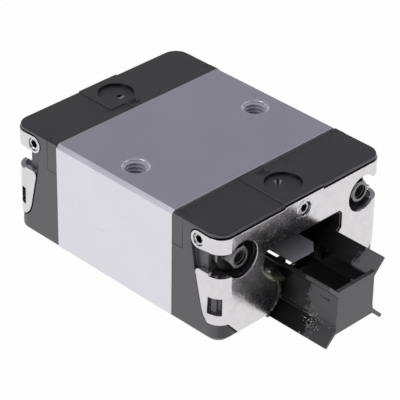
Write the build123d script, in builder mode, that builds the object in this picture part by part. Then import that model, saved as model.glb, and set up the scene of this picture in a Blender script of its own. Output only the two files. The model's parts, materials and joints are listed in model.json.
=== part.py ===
from build123d import *
import os
from math import cos, pi, sin

# Linear guide carriage on its transport arbor, in millimetres.
# The origin is the centre of the top mounting face, +X runs along the rail to the front end
# where the arbor sticks out, and +Z is up. Widths are built outwards from the rail's sides.

# Steel body
rail_width = 20.0
leg_thickness = 12.0                   # from the rail's side to the body's side
body_length = 31.9
body_height = 25.35
top_chamfer = 0.8
bottom_chamfer = 2.15
end_margin = 12.7                      # from the steel's end to the outside of the cover plate

# Rail section that the channel follows
rail_top = -9.25
head_bottom = -12.0
waist_step = 3.2                       # waist and foot, in from the side of the head
waist_top = -15.5
waist_bottom = -18.8
foot_step = 1.6
foot_top = -22.7
body_channel_gap = 0.8
body_channel_roof = -8.6
cap_channel_gap = 0.75
cap_channel_roof = -7.95
plate_channel_gap = 0.6
plate_channel_roof = -8.1
plate_channel_radius = 1.3

# Ball circuits
ball_diameter = 3.175
row_step = 0.65                        # centres of the balls, in from the rail's side
return_step = 6.55                     # return bores, out from the loaded rows
upper_row = -14.9
lower_row = -20.5
tunnel_gap = 0.16
ball_gap = 0.15                        # least play between two balls
groove_gap = 0.05
race_depth = 3.95
race_nose_step = 1.15
race_top = -15.15
race_bottom = -20.25
guide_top = -12.85
guide_bottom = -22.55
guide_lip = 0.95
seat_gap = 0.05

# Mounting holes in the top face
mount_spacing = 32.0
mount_thread_diameter = 5.0
mount_hole_depth = 8.6
mount_sink_diameter = 5.8
mount_sink_angle = 120

# End caps
cap_side_setback = 0.1
cap_top = -0.35
cap_bottom = -24.5
cap_corner_radius = 3.2
cap_face_setback = 0.25
cap_bottom_chamfer = 1.3
cap_edge_radius = 0.25
leg_step = 2.35                        # shorter part of the cap's legs, out from the rail's side
leg_step_bottom = -23.9
panel_half = 5.0
panel_rise = 0.2
panel_root = 1.0
disc_diameter = 7.3
disc_depth = 0.5
disc_setback = 5.7                     # setbacks are measured from the outside of the cover plate
pit_diameter = 1.9
pit_depth = 0.8
pit_setback = 7.0
notch_setback = 9.85
notch_length = 1.8
notch_inner = -1.45
notch_outer = 1.0
notch_depth = 0.45

# Return frames behind the caps
frame_thickness = 2.7
frame_side_setback = 1.6
frame_top = -1.7
frame_bottom = -22.9
shoulder_bottom = -6.9
tongue_length = 2.75
tongue_inner = 1.3
tongue_outer = 6.0

# Cover plates
plate_thickness = 1.0
plate_bend_radius = 3.2
plate_seat_gap = 0.05
pocket_gap = 0.25
band_top = -1.25
band_top_middle = -0.9
band_bottom = -4.5
lower_top = -9.66
side_lower_top = -9.2
plate_bottom = -23.0
corner_cut_top = -20.1
corner_cut_width = 2.5
corner_cut_run = 2.5
side_tab_edge = [(6.65, side_lower_top), (4.8, -17.5), (4.3, -18.8), (3.65, -19.6)]
tab_corner_radius = 0.9
side_tab_bottom = -19.95
port_setback = 5.9
port_z = -3.0
port_tab_radius = 1.85
port_hole_radius = 1.35
front_port_z = -3.3
front_port_radius = 1.5
port_ring_radius = 2.05
port_ring_rise = 0.15
window_setback = 3.25
window_width = 2.6
window_top = -14.2
window_bottom = -17.9
hook_gap = 0.4
hook_root = 1.5
hook_rise = 0.5

# End screws and lubrication screws
screw_edge = 5.75                      # screw's axis, in from the side of the body
screw_z = -7.05
screw_opening_radius = 3.85
screw_pocket_gap = 0.1
screw_pocket_depth = 4.2
screw_collar_radius = 3.6
screw_collar_thickness = 1.1
screw_flats = 4.3
screw_tip_setback = 0.7
screw_tip_chamfer = 0.5
screw_shank_radius = 1.2
screw_bore_gap = 0.1
screw_grip = 7.0
screw_thread_diameter = 3.0
screw_thread_depth = 3.0
port_screw_radius = 1.25
port_screw_length = 2.6
port_screw_setback = 0.3
port_socket_flats = 1.5
port_socket_depth = 1.3

# End seals and side seals
seal_thickness = 1.3
seal_outer_gap = 1.5
seal_outer_roof = -6.8
seal_recess_gap = 0.05
lip_outer_gap = 0.45
lip_outer_roof = -8.25
lip_roof = -8.45
lip_head_gap = 0.2
lip_head_bottom = -11.9
lip_waist_top = -15.9
lip_waist_bottom = -20.9
lip_foot_step = 0.1
lip_foot = -23.5
lip_arbor_gap = 0.3
lip_reach = 0.75
side_seal_top = -23.4
side_seal_bottom = -24.2
side_seal_gap = 0.15
side_seal_width = 1.85

# Transport arbor
arbor_length = 60.0
arbor_reach = 13.55
arbor_wall = 0.75
arbor_tip_step = 2.2                   # edges and walls, in from the rail's side
arbor_tip_top = -11.25
arbor_waist_step = 4.95
arbor_waist_top = -14.1
arbor_waist_bottom = -21.4
arbor_low_tip_step = 2.05
arbor_low_tip = -24.15
arbor_end_wall = 0.9
arbor_end_top = -13.0
arbor_end_bottom = -22.5
arbor_end_top_flare = 0.25
arbor_end_bottom_flare = 0.7
deck_gap = 1.05
deck_thickness = 0.9
deck_setback = 12.3
deck_lip = 2.2
deck_corner_cut = 2.3
rib_thickness = 1.35
rib_depth = 2.4
rib_pitch = 4.8
centre_rib_thickness = 0.6
centre_rib_depth = 7.0
relief_length = 21.6
relief_top = -20.2
bead_height = 0.6
bead_width = 0.15
slit_length = 2.5
slit_height = 0.3
slit_depth = 0.25
slit_setback = 3.15
slit_z = -15.7

# Sizes worked out from the above
head_half = rail_width / 2
waist_half = head_half - waist_step
foot_half = head_half - foot_step
block_half = head_half + leg_thickness
cap_half = block_half - cap_side_setback
frame_half = cap_half - frame_side_setback
body_end = body_length / 2
plate_face = body_end + end_margin
plate_back = plate_face - plate_thickness
core_face = plate_back - plate_seat_gap
cap_face = plate_face - cap_face_setback
core_half = block_half - plate_thickness - plate_seat_gap
bend_centre_x = plate_face - plate_bend_radius
bend_centre_y = block_half - plate_bend_radius
plate_inner_radius = plate_bend_radius - plate_thickness
core_radius = plate_inner_radius - plate_seat_gap
port_x = plate_face - port_setback
window_x = plate_face - window_setback
screw_half = block_half - screw_edge
screw_corner_radius = screw_flats / 2 / cos(pi / 6)
screw_pocket_floor = plate_face - screw_pocket_depth
ball_radius = ball_diameter / 2
tunnel_radius = ball_radius + tunnel_gap
groove_radius = ball_radius + groove_gap
row_offset = head_half - row_step
return_offset = row_offset + return_step
turn_radius = return_step / 2
turn_centre = row_offset + turn_radius
race_back = row_offset + race_depth
race_nose = row_offset - race_nose_step
guide_inner = row_offset + guide_lip
side_seal_inner = foot_half + side_seal_gap
side_seal_key = side_seal_inner + side_seal_width
seal_back = core_face - seal_thickness
arbor_front = plate_face + arbor_reach
arbor_rear = arbor_front - arbor_length
arbor_middle = (arbor_front + arbor_rear) / 2
arbor_tip_half = head_half - arbor_tip_step
arbor_waist_half = head_half - arbor_waist_step
arbor_low_tip_half = head_half - arbor_low_tip_step
deck_half = arbor_waist_half - deck_gap
lip_waist_half = arbor_waist_half + lip_arbor_gap
lip_radius = plate_channel_radius - plate_channel_gap + lip_outer_gap
lip_opening_radius = lip_radius - lip_outer_gap + lip_head_gap
below = -body_height - end_margin      # a height under everything, for cuts that run out below

os.makedirs("parts", exist_ok=True)


def save(part, label):
    """Name a finished piece and write it."""
    part.label = label
    export_step(part, f"parts/{label}.step")


def both_sides(right):
    """A closed outline from its right half, listed downwards."""
    return right + [(-y, z) for y, z in reversed(right)]


def rail_section(gap, roof):
    """The rail's section grown by a gap, open downwards, with its roof at the given height."""
    with BuildSketch() as section:
        with BuildLine():
            Polyline(*both_sides([(head_half, rail_top), (head_half, head_bottom),
                                  (waist_half, waist_top), (waist_half, waist_bottom),
                                  (foot_half, foot_top), (foot_half, below)]), close=True)
        make_face()
        offset(amount=gap, kind=Kind.INTERSECTION)
        with Locations((0, (roof + head_bottom) / 2)):
            Rectangle(2 * (head_half + gap), roof - head_bottom)
        with Locations((0, roof + head_half)):
            Rectangle(4 * head_half, 2 * head_half, mode=Mode.SUBTRACT)
    return section.sketch


def rounded_end(near_x, face_x, half, radius):
    """Plan of an end piece: square at near_x, with two rounded corners at face_x."""
    with BuildSketch() as plan:
        with Locations(((near_x + face_x) / 2, 0)):
            Rectangle(face_x - near_x, 2 * half)
        fillet(plan.vertices().group_by(Axis.X)[-1], radius=radius)
    return plan.sketch


body_channel = rail_section(body_channel_gap, body_channel_roof)
cap_channel = rail_section(cap_channel_gap, cap_channel_roof)
seal_outline = rail_section(seal_outer_gap, seal_outer_roof)
seal_recess = rail_section(seal_outer_gap + seal_recess_gap, seal_outer_roof + seal_recess_gap)

with BuildSketch() as plate_channel:
    add(rail_section(plate_channel_gap, plate_channel_roof))
    fillet(plate_channel.vertices().group_by(Axis.Y)[-1], radius=plate_channel_radius)

with BuildSketch() as lip_outline:
    add(rail_section(lip_outer_gap, lip_outer_roof))
    fillet(lip_outline.vertices().group_by(Axis.Y)[-1], radius=lip_radius)

with BuildSketch() as lip_opening:
    lip_head_half = head_half + lip_head_gap
    lip_foot_half = foot_half - lip_foot_step
    with BuildLine():
        Polyline(*both_sides([(lip_head_half, lip_roof), (lip_head_half, lip_head_bottom),
                              (lip_waist_half, lip_waist_top), (lip_waist_half, lip_waist_bottom),
                              (lip_foot_half, lip_foot), (lip_foot_half, below)]), close=True)
    make_face()
    fillet(lip_opening.vertices().group_by(Axis.Y)[-1], radius=lip_opening_radius)

cap_plan = rounded_end(body_end, cap_face, cap_half, cap_corner_radius)
core_plan = rounded_end(0, core_face, core_half, core_radius)
plate_plan = rounded_end(body_end, plate_face, block_half, plate_bend_radius)
plate_hollow = rounded_end(0, plate_back, block_half - plate_thickness, plate_inner_radius)

# Front view of the cover plate's outline, and the screw openings that break out at its sides
with BuildSketch() as front_outline:
    corner_cut_y = block_half - corner_cut_width
    with BuildLine():
        Polyline(*both_sides([(panel_half, band_top_middle), (panel_half, band_top),
                              (2 * block_half, band_top), (2 * block_half, corner_cut_top),
                              (corner_cut_y, corner_cut_top),
                              (corner_cut_y - corner_cut_run, plate_bottom)]), close=True)
    make_face()

with BuildSketch() as screw_openings:
    for side in (1, -1):
        with Locations((side * screw_half, screw_z)):
            Circle(screw_opening_radius)
        with Locations((side * (screw_half + block_half), (band_bottom + lower_top) / 2)):
            Rectangle(2 * block_half, band_bottom - lower_top)

# Side view of the plate's two tabs, and of the pocket that takes them
side_tab_points = [(plate_face - setback, z) for setback, z in side_tab_edge]

with BuildSketch() as side_tabs:
    with BuildLine():
        Polyline((bend_centre_x, side_lower_top), *side_tab_points,
                 (bend_centre_x, side_tab_bottom), close=True)
    make_face()
    fillet(side_tabs.vertices().sort_by(Axis.X)[0], radius=tab_corner_radius)
    with Locations((port_x, port_z)):
        Circle(port_tab_radius)
    with BuildLine():
        Polyline((bend_centre_x, band_top), (port_x, port_z + port_tab_radius),
                 (port_x, port_z - port_tab_radius), (bend_centre_x, band_bottom), close=True)
    make_face()
    with Locations((port_x, port_z)):
        Circle(port_hole_radius, mode=Mode.SUBTRACT)

with BuildSketch() as side_pocket:
    with BuildLine():
        Polyline((bend_centre_x, band_top), (port_x, port_z + port_tab_radius),
                 (port_x - port_tab_radius, port_z), *side_tab_points,
                 (bend_centre_x, side_tab_bottom), close=True)
    make_face()
    with Locations((port_x, port_z)):
        Circle(port_tab_radius)
    offset(amount=pocket_gap, kind=Kind.INTERSECTION)

# Steel body with its channel, race pockets, return bores and tapped holes
with BuildPart() as steel_body:
    with BuildSketch(Plane.YZ.offset(-body_end)):
        with Locations((0, -body_height / 2)):
            Rectangle(2 * block_half, body_height)
    extrude(amount=body_length)
    along = steel_body.edges().filter_by(Axis.X)
    chamfer(along.group_by(Axis.Z)[-1], length=top_chamfer)
    chamfer(along.group_by(Axis.Z)[0], length=bottom_chamfer)
    with BuildSketch(Plane.YZ.offset(-body_end)):
        add(body_channel)
        for side in (1, -1):
            with Locations((side * (waist_half + race_back + seat_gap) / 2,
                            (guide_top + guide_bottom) / 2)):
                Rectangle(race_back + seat_gap - waist_half,
                          guide_top - guide_bottom + 2 * seat_gap)
            with Locations((side * (waist_half + side_seal_key + seat_gap) / 2,
                            (side_seal_top + side_seal_bottom) / 2)):
                Rectangle(side_seal_key + seat_gap - waist_half,
                          side_seal_top - side_seal_bottom + 2 * seat_gap)
            with Locations((side * return_offset, upper_row), (side * return_offset, lower_row)):
                Circle(tunnel_radius)
    extrude(amount=body_length, mode=Mode.SUBTRACT)
    for end in (1, -1):
        with BuildSketch(Plane.YZ.offset(end * body_end)):
            with Locations((screw_half, screw_z), (-screw_half, screw_z)):
                Circle(screw_shank_radius + seat_gap)
        extrude(amount=-end * (screw_grip + screw_bore_gap), mode=Mode.SUBTRACT)
    with Locations((0, mount_spacing / 2, 0), (0, -mount_spacing / 2, 0)):
        CounterSinkHole(mount_thread_diameter / 2, mount_sink_diameter / 2, mount_hole_depth,
                        mount_sink_angle)
save(steel_body.part, "steel_body")

# Hardened races, one bar a side between its two rows of balls
for side, side_name in ((1, "right"), (-1, "left")):
    with BuildPart() as race:
        with BuildSketch(Plane.YZ.offset(-body_end)):
            with Locations((side * (race_back + race_nose) / 2, (race_top + race_bottom) / 2)):
                Rectangle(race_back - race_nose, race_top - race_bottom)
            with Locations((side * row_offset, upper_row), (side * row_offset, lower_row)):
                Circle(groove_radius, mode=Mode.SUBTRACT)
        extrude(amount=body_length)
    save(race.part, f"{side_name}_race_insert")

# Moulded ball guides above and below each race
for side, side_name in ((1, "right"), (-1, "left")):
    for row, row_name, back, near in ((upper_row, "upper", guide_top, race_top + seat_gap),
                                      (lower_row, "lower", guide_bottom, race_bottom - seat_gap)):
        with BuildPart() as guide:
            with BuildSketch(Plane.YZ.offset(-body_end)):
                with BuildLine():
                    Polyline((side * race_back, back), (side * race_back, near),
                             (side * (row_offset + groove_radius), near),
                             (side * guide_inner, back), close=True)
                make_face()
                with Locations((side * row_offset, row)):
                    Circle(groove_radius, mode=Mode.SUBTRACT)
            extrude(amount=body_length)
        save(guide.part, f"{side_name}_{row_name}_ball_guide")


def circuit_point(distance):
    """Centre of a ball on the right-hand circuit, by its distance along the loop."""
    turn = pi * turn_radius
    if distance < body_length:
        return (-body_end + distance, row_offset)
    distance = distance - body_length
    if distance < turn:
        angle = distance / turn_radius
        return (body_end + turn_radius * sin(angle), turn_centre - turn_radius * cos(angle))
    distance = distance - turn
    if distance < body_length:
        return (body_end - distance, return_offset)
    angle = (distance - body_length) / turn_radius
    return (-body_end - turn_radius * sin(angle), turn_centre + turn_radius * cos(angle))


# Balls, one closed circuit for each row
circuit_length = 2 * body_length + 2 * pi * turn_radius
balls_per_circuit = int(circuit_length / (ball_diameter + ball_gap))
ball_pitch = circuit_length / balls_per_circuit
loop = [circuit_point((n + 0.5) * ball_pitch) for n in range(balls_per_circuit)]
for side, side_name in ((1, "right"), (-1, "left")):
    for row, row_name in ((upper_row, "upper"), (lower_row, "lower")):
        with BuildPart() as balls:
            with Locations(*[(x, side * y, row) for x, y in loop]):
                Sphere(ball_radius)
        save(balls.part, f"{side_name}_{row_name}_balls")

ball_turns = [(body_end, side * turn_centre, row)
              for side in (1, -1) for row in (upper_row, lower_row)]

# Front return frame: the inner half of the ball turns, held between the steel and the cap
with BuildPart() as front_return_frame:
    with BuildSketch(Plane.YZ.offset(body_end)):
        with Locations((0, (frame_top + frame_bottom) / 2)):
            Rectangle(2 * frame_half, frame_top - frame_bottom)
        for side in (1, -1):
            with Locations((side * (frame_half + cap_half) / 2,
                            (cap_top + shoulder_bottom) / 2)):
                Rectangle(cap_half - frame_half, cap_top - shoulder_bottom)
        add(body_channel, mode=Mode.SUBTRACT)
        with Locations((screw_half, screw_z), (-screw_half, screw_z)):
            Circle(screw_shank_radius + screw_bore_gap, mode=Mode.SUBTRACT)
    extrude(amount=frame_thickness)
    with BuildSketch(Plane.XY.offset(frame_top)):
        with Locations((body_end + tongue_length / 2, (tongue_inner + tongue_outer) / 2)):
            Rectangle(tongue_length, tongue_outer - tongue_inner)
    extrude(amount=cap_top - frame_top)
    with Locations(*ball_turns):
        Torus(turn_radius, tunnel_radius, mode=Mode.SUBTRACT)
save(front_return_frame.part, "front_return_frame")

# Space for the cover plate, let flush into the end cap
with BuildPart() as plate_pocket:
    with BuildSketch(Plane.YZ.offset(bend_centre_x)):
        add(front_outline.sketch)
        offset(amount=pocket_gap, kind=Kind.INTERSECTION)
    extrude(amount=end_margin)
    with BuildSketch(Plane.XZ):
        add(side_pocket.sketch)
    extrude(amount=2 * block_half, both=True)
    with BuildSketch(Plane.XY.offset(below)):
        add(core_plan)
    extrude(amount=-below, mode=Mode.SUBTRACT)

# Front end cap, moulded round the return frame
with BuildPart() as front_end_cap:
    with BuildSketch(Plane.XY.offset(cap_bottom)):
        add(cap_plan)
    extrude(amount=cap_top - cap_bottom)
    outer = front_end_cap.edges().filter_by(lambda edge: edge.center().X > body_end + frame_thickness)
    chamfer(outer.group_by(Axis.Z)[0], length=cap_bottom_chamfer)
    fillet(outer.group_by(Axis.Z)[-1], radius=cap_edge_radius)
    with BuildSketch(Plane.XY.offset(cap_top - panel_root)):
        with Locations(((body_end + cap_face) / 2, 0)):
            Rectangle(cap_face - body_end, 2 * panel_half)
    extrude(amount=panel_root + panel_rise)
    add(plate_pocket.part, mode=Mode.SUBTRACT)
    with BuildSketch(Plane.YZ.offset(body_end)):
        add(cap_channel)
        with Locations((0, (leg_step_bottom + below) / 2)):
            Rectangle(2 * (head_half + leg_step), leg_step_bottom - below)
        with Locations((screw_half, screw_z), (-screw_half, screw_z)):
            Circle(screw_shank_radius + screw_bore_gap)
    extrude(amount=end_margin, mode=Mode.SUBTRACT)
    with BuildSketch(Plane.YZ.offset(seal_back - seal_recess_gap)):
        add(seal_recess)
    extrude(amount=end_margin, mode=Mode.SUBTRACT)
    with BuildSketch(Plane.YZ.offset(screw_pocket_floor)):
        add(screw_openings.sketch)
        offset(amount=screw_pocket_gap, kind=Kind.INTERSECTION)
    extrude(amount=end_margin, mode=Mode.SUBTRACT)
    with BuildSketch(Plane.YZ.offset(body_end)):
        with Locations((0, (frame_top + frame_bottom) / 2)):
            Rectangle(2 * (frame_half + seat_gap), frame_top - frame_bottom + 2 * seat_gap)
        for side in (1, -1):
            with Locations((side * (frame_half - seat_gap + block_half),
                            (shoulder_bottom - seat_gap) / 2)):
                Rectangle(2 * block_half, -shoulder_bottom + seat_gap)
    extrude(amount=frame_thickness + seat_gap, mode=Mode.SUBTRACT)
    with BuildSketch(Plane.XY.offset(frame_top)):
        with Locations((body_end + (tongue_length + seat_gap) / 2,
                        (tongue_inner + tongue_outer) / 2)):
            Rectangle(tongue_length + seat_gap, tongue_outer - tongue_inner + 2 * seat_gap)
    extrude(amount=-frame_top, mode=Mode.SUBTRACT)
    with Locations(*ball_turns):
        Torus(turn_radius, tunnel_radius, mode=Mode.SUBTRACT)
    with BuildSketch(Plane.XY.offset(cap_top + panel_rise)):
        with Locations((plate_face - disc_setback, 0)):
            Circle(disc_diameter / 2)
    extrude(amount=-disc_depth, mode=Mode.SUBTRACT)
    with Locations((plate_face - pit_setback, 0, cap_top + panel_rise - disc_depth - pit_depth / 2)):
        Cone(0, pit_diameter / 2, pit_depth, mode=Mode.SUBTRACT)
    with BuildSketch(Plane.XY.offset(cap_top + panel_rise)):
        with Locations((plate_face - notch_setback - notch_length / 2,
                        (notch_inner + notch_outer) / 2)):
            Rectangle(notch_length, notch_outer - notch_inner)
    extrude(amount=-notch_depth, mode=Mode.SUBTRACT)
    for side in (1, -1):
        with BuildSketch(Plane.XZ.offset(side * (core_half - port_screw_length))):
            with Locations((port_x, port_z)):
                Circle(port_screw_radius + seat_gap)
        extrude(amount=side * block_half, mode=Mode.SUBTRACT)
    with BuildSketch(Plane.YZ.offset(core_face - port_screw_length)):
        with Locations((0, front_port_z)):
            Circle(port_screw_radius + seat_gap)
    extrude(amount=end_margin, mode=Mode.SUBTRACT)
    with BuildSketch(Plane.XY.offset(window_bottom + hook_gap)):
        for side in (1, -1):
            with BuildLine():
                Polyline((window_x + hook_gap, side * (core_half - hook_root)),
                         (window_x + hook_gap, side * (core_half + hook_rise)),
                         (window_x + window_width - 3 * hook_gap, side * core_half),
                         (window_x + window_width - 3 * hook_gap,
                          side * (core_half - hook_root)), close=True)
            make_face()
    extrude(amount=window_top - window_bottom - 2 * hook_gap)
save(front_end_cap.part, "front_end_cap")

# Front end seal: a ring round the channel whose lip reaches through the plate's opening
with BuildPart() as front_end_seal:
    with BuildSketch(Plane.YZ.offset(seal_back)):
        add(seal_outline)
    extrude(amount=seal_thickness)
    with BuildSketch(Plane.YZ.offset(seal_back)):
        add(lip_outline.sketch)
    extrude(amount=plate_back + lip_reach - seal_back)
    with BuildSketch(Plane.YZ.offset(seal_back)):
        add(lip_opening.sketch)
        with Locations((0, leg_step_bottom + below)):
            Rectangle(2 * block_half, -2 * below)
    extrude(amount=end_margin, mode=Mode.SUBTRACT)
save(front_end_seal.part, "front_end_seal")

# Front cover plate, bent from sheet round both corners
with BuildPart() as front_cover_plate:
    with BuildSketch(Plane.YZ.offset(bend_centre_x)):
        add(front_outline.sketch)
        add(plate_channel.sketch, mode=Mode.SUBTRACT)
        add(screw_openings.sketch, mode=Mode.SUBTRACT)
        with Locations((0, front_port_z)):
            Circle(front_port_radius, mode=Mode.SUBTRACT)
    extrude(amount=end_margin)
    with BuildSketch(Plane.XZ):
        add(side_tabs.sketch)
    extrude(amount=2 * block_half, both=True)
    with BuildSketch(Plane.XY.offset(below)):
        add(plate_plan)
    extrude(amount=-below, mode=Mode.INTERSECT)
    with BuildSketch(Plane.XY.offset(below)):
        add(plate_hollow)
    extrude(amount=-below, mode=Mode.SUBTRACT)
    for side in (1, -1):
        with BuildSketch(Plane.XZ.offset(side * bend_centre_y)):
            with Locations((window_x + window_width / 2, (window_top + window_bottom) / 2)):
                Rectangle(window_width, window_top - window_bottom)
        extrude(amount=side * plate_bend_radius, mode=Mode.SUBTRACT)
    with BuildSketch(Plane.YZ.offset(plate_face)):
        with Locations((0, front_port_z)):
            Circle(port_ring_radius)
            Circle(front_port_radius, mode=Mode.SUBTRACT)
    extrude(amount=port_ring_rise)
save(front_cover_plate.part, "front_cover_plate")

# The rear end has the same pieces as the front, turned round: its left is the front's right
turned_side = {"right": "left", "left": "right"}

# End screws: shank, collar, hexagon with a rounded face and a tapped end
head_length = plate_face - screw_tip_setback - screw_pocket_floor
for side, side_name in ((1, "right"), (-1, "left")):
    with BuildPart() as end_screw:
        with BuildSketch(Plane.YZ.offset(screw_pocket_floor)):
            with Locations((side * screw_half, screw_z)):
                Circle(screw_corner_radius)
        extrude(amount=head_length)
        chamfer(end_screw.faces().sort_by(Axis.X)[-1].edges(), length=screw_tip_chamfer)
        with BuildSketch(Plane.YZ.offset(screw_pocket_floor)):
            with Locations((side * screw_half, screw_z)):
                RegularPolygon(screw_flats / 2, 6, major_radius=False)
        extrude(amount=head_length, mode=Mode.INTERSECT)
        with BuildSketch(Plane.YZ.offset(body_end - screw_grip)):
            with Locations((side * screw_half, screw_z)):
                Circle(screw_shank_radius)
        extrude(amount=screw_pocket_floor - body_end + screw_grip)
        with BuildSketch(Plane.YZ.offset(screw_pocket_floor)):
            with Locations((side * screw_half, screw_z)):
                Circle(screw_collar_radius)
        extrude(amount=screw_collar_thickness)
        with BuildSketch(Plane.YZ.offset(plate_face - screw_tip_setback)):
            with Locations((side * screw_half, screw_z)):
                Circle(screw_thread_diameter / 2)
        extrude(amount=-screw_thread_depth, mode=Mode.SUBTRACT)
    save(end_screw.part, f"front_{side_name}_end_screw")
    save(end_screw.part.rotate(Axis.Z, 180), f"rear_{turned_side[side_name]}_end_screw")

# Lubrication port screws: one in each side tab and one in each front face
port_screw_out = block_half - port_screw_setback
for side, side_name in ((1, "right"), (-1, "left")):
    with BuildPart() as port_screw:
        with BuildSketch(Plane.XZ.offset(-side * port_screw_out)):
            with Locations((port_x, port_z)):
                Circle(port_screw_radius)
        extrude(amount=side * port_screw_length)
        with BuildSketch(Plane.XZ.offset(-side * port_screw_out)):
            with Locations((port_x, port_z)):
                RegularPolygon(port_socket_flats / 2, 6, major_radius=False)
        extrude(amount=side * port_socket_depth, mode=Mode.SUBTRACT)
    save(port_screw.part, f"front_{side_name}_port_screw")
    save(port_screw.part.rotate(Axis.Z, 180), f"rear_{turned_side[side_name]}_port_screw")

with BuildPart() as front_centre_port_screw:
    with BuildSketch(Plane.YZ.offset(plate_face - port_screw_setback)):
        with Locations((0, front_port_z)):
            Circle(port_screw_radius)
    extrude(amount=-port_screw_length)
    with BuildSketch(Plane.YZ.offset(plate_face - port_screw_setback)):
        with Locations((0, front_port_z)):
            RegularPolygon(port_socket_flats / 2, 6, major_radius=False)
    extrude(amount=-port_socket_depth, mode=Mode.SUBTRACT)
save(front_centre_port_screw.part, "front_centre_port_screw")

for front, rear_name in ((front_return_frame, "rear_return_frame"),
                         (front_end_cap, "rear_end_cap"),
                         (front_end_seal, "rear_end_seal"),
                         (front_cover_plate, "rear_cover_plate"),
                         (front_centre_port_screw, "rear_centre_port_screw")):
    save(front.part.rotate(Axis.Z, 180), rear_name)

# Side seals keyed into the body's lower lips
for side, side_name in ((1, "right"), (-1, "left")):
    with BuildPart() as side_seal:
        with BuildSketch(Plane.YZ.offset(-body_end)):
            with Locations((side * (side_seal_inner + side_seal_key) / 2,
                            (side_seal_top + side_seal_bottom) / 2)):
                Rectangle(side_seal_key - side_seal_inner, side_seal_top - side_seal_bottom)
        extrude(amount=body_length)
    save(side_seal.part, f"{side_name}_side_seal")

# Transport arbor: two flared walls, an end wall at each end and a ribbed deck between them
with BuildSketch() as arbor_walls:
    with BuildLine():
        Polyline((arbor_tip_half, arbor_tip_top), (arbor_waist_half, arbor_waist_top),
                 (arbor_waist_half, arbor_waist_bottom), (arbor_low_tip_half, arbor_low_tip))
        offset(amount=arbor_wall, side=Side.RIGHT, kind=Kind.INTERSECTION)
    make_face()
    with Locations((arbor_waist_half, arbor_waist_bottom + bead_height / 2)):
        Rectangle(2 * bead_width, bead_height)
    mirror(about=Plane.YZ)

deck_end = arbor_front - deck_setback
deck_start = arbor_rear + deck_setback
deck_edge = deck_half - deck_thickness
rib_steps = int((deck_end - deck_start) / 2 / rib_pitch)
rib_places = [deck_end, deck_start]
rib_places += [arbor_middle + n * rib_pitch for n in range(-rib_steps, rib_steps + 1)]
rib_reach = arbor_waist_half - arbor_wall / 2

with BuildPart() as transport_arbor:
    with BuildSketch(Plane.YZ.offset(arbor_rear)):
        add(arbor_walls.sketch)
    extrude(amount=arbor_length)
    for wall_start in (arbor_rear, arbor_front - arbor_end_wall):
        with BuildSketch(Plane.YZ.offset(wall_start)):
            with BuildLine():
                Polyline(*both_sides([(arbor_waist_half + arbor_end_top_flare, arbor_end_top),
                                      (rib_reach, arbor_waist_top),
                                      (rib_reach, arbor_waist_bottom),
                                      (arbor_waist_half + arbor_end_bottom_flare,
                                       arbor_end_bottom)]), close=True)
            make_face()
        extrude(amount=arbor_end_wall)
    with BuildSketch(Plane.YZ.offset(deck_start)):
        with BuildLine():
            Polyline(*both_sides([(deck_half, arbor_end_top),
                                  (deck_edge, arbor_end_top - deck_thickness)]), close=True)
        make_face()
    extrude(amount=deck_end - deck_start)
    for lip_start in (deck_start, deck_end - deck_thickness):
        with BuildSketch(Plane.YZ.offset(lip_start)):
            with Locations((0, arbor_end_top - deck_lip / 2)):
                Rectangle(2 * deck_edge, deck_lip)
        extrude(amount=deck_thickness)
    with BuildSketch(Plane.XY.offset(arbor_end_top - deck_lip)):
        for corner_x, turn in ((deck_end, 1), (deck_start, -1)):
            with BuildLine():
                Polyline((corner_x - turn * deck_corner_cut, turn * deck_half),
                         (corner_x, turn * (deck_half - deck_corner_cut)),
                         (corner_x, turn * deck_half), close=True)
            make_face()
    extrude(amount=deck_lip, mode=Mode.SUBTRACT)
    with BuildSketch(Plane.XY.offset(arbor_end_top - rib_depth)):
        for side in (1, -1):
            with Locations(*[(rib_x, side * (rib_reach + deck_edge) / 2) for rib_x in rib_places]):
                Rectangle(rib_thickness, rib_reach - deck_edge)
    extrude(amount=rib_depth - deck_thickness / 2)
    for rib_start, rib_end in ((arbor_rear, deck_start + deck_thickness),
                               (deck_end - deck_thickness, arbor_front)):
        with BuildSketch(Plane.XY.offset(arbor_end_top - centre_rib_depth)):
            with Locations(((rib_start + rib_end) / 2, 0)):
                Rectangle(rib_end - rib_start, centre_rib_thickness)
        extrude(amount=centre_rib_depth)
    with BuildSketch(Plane.XY.offset(relief_top)):
        for side in (1, -1):
            with Locations((arbor_middle, side * (arbor_waist_half + arbor_low_tip_half) / 2)):
                Rectangle(relief_length, arbor_low_tip_half)
    extrude(amount=below, mode=Mode.SUBTRACT)
    for side in (1, -1):
        with BuildSketch(Plane.XZ.offset(side * arbor_waist_half)):
            with Locations((arbor_front - slit_setback, slit_z), (arbor_rear + slit_setback, slit_z)):
                Rectangle(slit_length, slit_height)
        extrude(amount=-side * slit_depth, mode=Mode.SUBTRACT)
save(transport_arbor.part, "transport_arbor")
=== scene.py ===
import json
import random
from math import cos, pi, radians, sin

import bmesh
import bpy
from bpy.props import FloatProperty, FloatVectorProperty, IntProperty, PointerProperty
from mathutils import Matrix, Vector
from mathutils.bvhtree import BVHTree


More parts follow.
